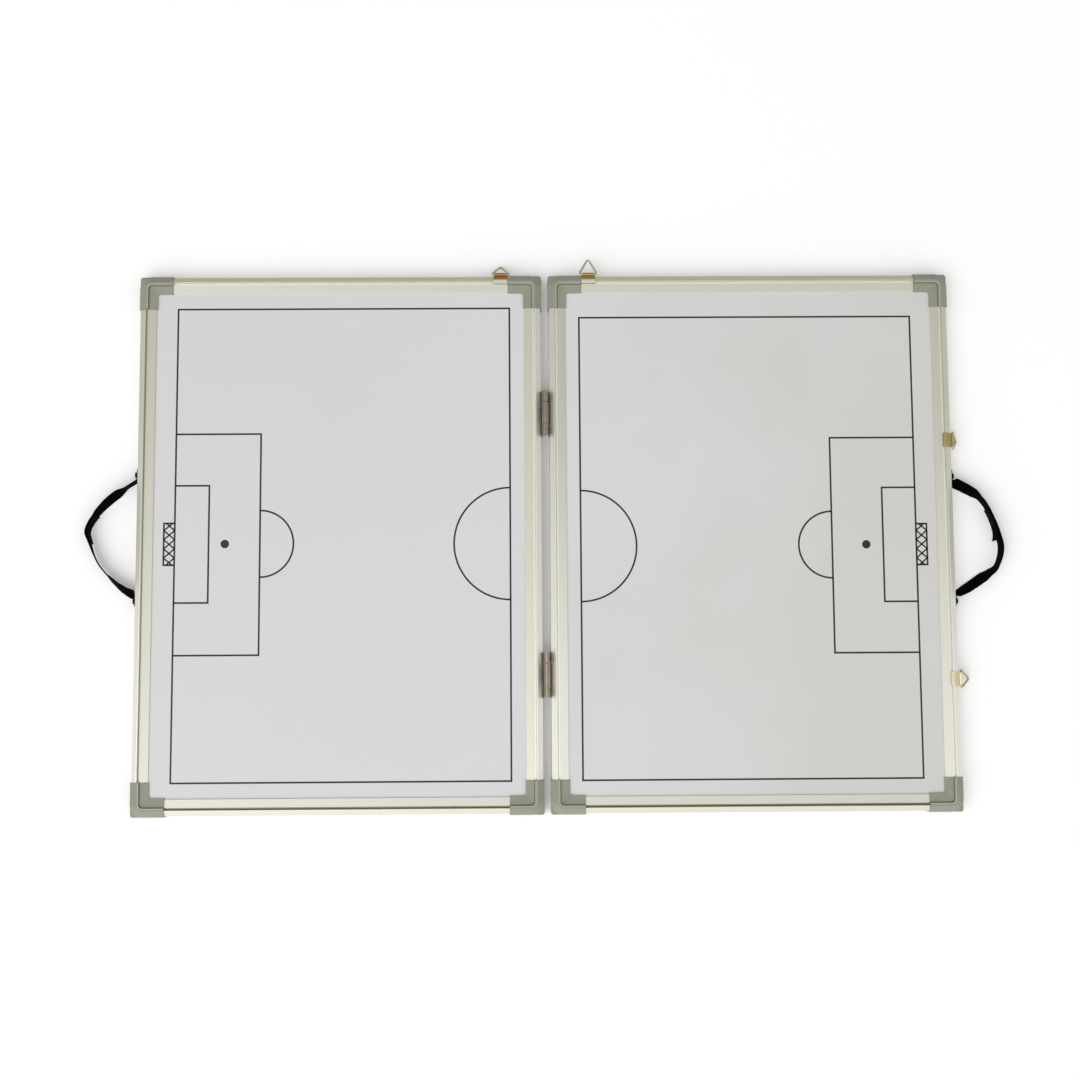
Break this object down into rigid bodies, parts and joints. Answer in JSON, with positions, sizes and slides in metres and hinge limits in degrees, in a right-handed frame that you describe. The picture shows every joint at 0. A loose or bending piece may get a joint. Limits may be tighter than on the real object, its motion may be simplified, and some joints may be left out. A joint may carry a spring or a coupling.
{
  "type": "tactics board",
  "caption": "Folding framed white tactics board with a printed pitch face, side webbing handles, a hinged centre line and sliding hanger rings.",
  "frame": {"origin": "middle of the open board's box, on the plane that its back lies on", "axes": "+X to the right panel, +Y to the top edge with the two hanger rings, +Z out of the playing face"},
  "size_m": [1.0235, 0.6209, 0.0265],
  "materials": {
    "rail": "champagne anodised, satin",
    "cap": "moulded, slightly glossy",
    "writing_surface": "white coated steel, dry-wipe gloss",
    "print": "dark printed lines on the writing sheet",
    "core": "honeycomb board",
    "back": "thin mill-finish sheet",
    "hinge": "nickel plated",
    "pin": "bright steel",
    "clip": "champagne plated",
    "ring": "nickel plated wire",
    "webbing": "black woven webbing",
    "strap_fixing": "black",
    "screw": "zinc plated"
  },
  "bodies": {
    "left_panel": {"left_back_sheet": "back", "left_bottom_hinge_cap": "cap", "left_bottom_outer_cap": "cap", "left_bottom_rail": "rail", "left_core": "core", "left_hinge_rail": "rail", "left_hinge_screws": "screw", "left_outer_rail": "rail", "left_strap": "webbing", "left_strap_screws": "strap_fixing", "left_strap_washers": "strap_fixing", "left_top_hinge_cap": "cap", "left_top_outer_cap": "cap", "left_top_rail": "rail", "left_writing_sheet": "writing_surface", "lower_hinge_left_leaf": "hinge", "lower_hinge_pin": "pin", "upper_hinge_left_leaf": "hinge", "upper_hinge_pin": "pin"},
    "right_panel": {"lower_hinge_right_leaf": "hinge", "right_back_sheet": "back", "right_bottom_hinge_cap": "cap", "right_bottom_outer_cap": "cap", "right_bottom_rail": "rail", "right_core": "core", "right_hinge_rail": "rail", "right_hinge_screws": "screw", "right_outer_rail": "rail", "right_strap": "webbing", "right_strap_screws": "strap_fixing", "right_strap_washers": "strap_fixing", "right_top_hinge_cap": "cap", "right_top_outer_cap": "cap", "right_top_rail": "rail", "right_writing_sheet": "writing_surface", "upper_hinge_right_leaf": "hinge"},
    "top_left_clip": {"top_left_hanger_clip": "clip"},
    "top_left_ring": {"top_left_hanger_ring": "ring"},
    "top_right_clip": {"top_right_hanger_clip": "clip"},
    "top_right_ring": {"top_right_hanger_ring": "ring"},
    "upper_side_clip": {"upper_side_hanger_clip": "clip"},
    "upper_side_ring": {"upper_side_hanger_ring": "ring"},
    "lower_side_clip": {"lower_side_hanger_clip": "clip"},
    "lower_side_ring": {"lower_side_hanger_ring": "ring"}
  },
  "joints": [
    {"name": "fold", "type": "hinge", "parent": "left_panel", "child": "right_panel", "pos_m": [0, 0, 0.0236], "axis": [0, -1, 0], "range_deg": [0, 180]},
    {"name": "top_left_clip_slide", "type": "slide", "parent": "left_panel", "child": "top_left_clip", "axis": [-1, 0, 0], "range_m": [0, 0.35]},
    {"name": "top_right_clip_slide", "type": "slide", "parent": "right_panel", "child": "top_right_clip", "axis": [1, 0, 0], "range_m": [0, 0.35]},
    {"name": "upper_side_clip_slide", "type": "slide", "parent": "right_panel", "child": "upper_side_clip", "axis": [0, 1, 0], "range_m": [-0.015, 0.14]},
    {"name": "lower_side_clip_slide", "type": "slide", "parent": "right_panel", "child": "lower_side_clip", "axis": [0, 1, 0], "range_m": [-0.095, 0.06]},
    {"name": "top_left_ring_swing", "type": "hinge", "parent": "top_left_clip", "child": "top_left_ring", "pos_m": [-0.0496, 0.29265, 0.0172], "axis": [-1, 0, 0], "range_deg": [-135, 18]},
    {"name": "top_right_ring_swing", "type": "hinge", "parent": "top_right_clip", "child": "top_right_ring", "pos_m": [0.0496, 0.29265, 0.0172], "axis": [-1, 0, 0], "range_deg": [-90, 63]},
    {"name": "upper_side_ring_swing", "type": "hinge", "parent": "upper_side_clip", "child": "upper_side_ring", "pos_m": [0.4575, 0.10055, 0.0172], "axis": [0, 1, 0], "range_deg": [-153, 0]},
    {"name": "lower_side_ring_swing", "type": "hinge", "parent": "lower_side_clip", "child": "lower_side_ring", "pos_m": [0.4575, -0.16615, 0.0172], "axis": [0, 1, 0], "range_deg": [-135, 18]}
  ]
}
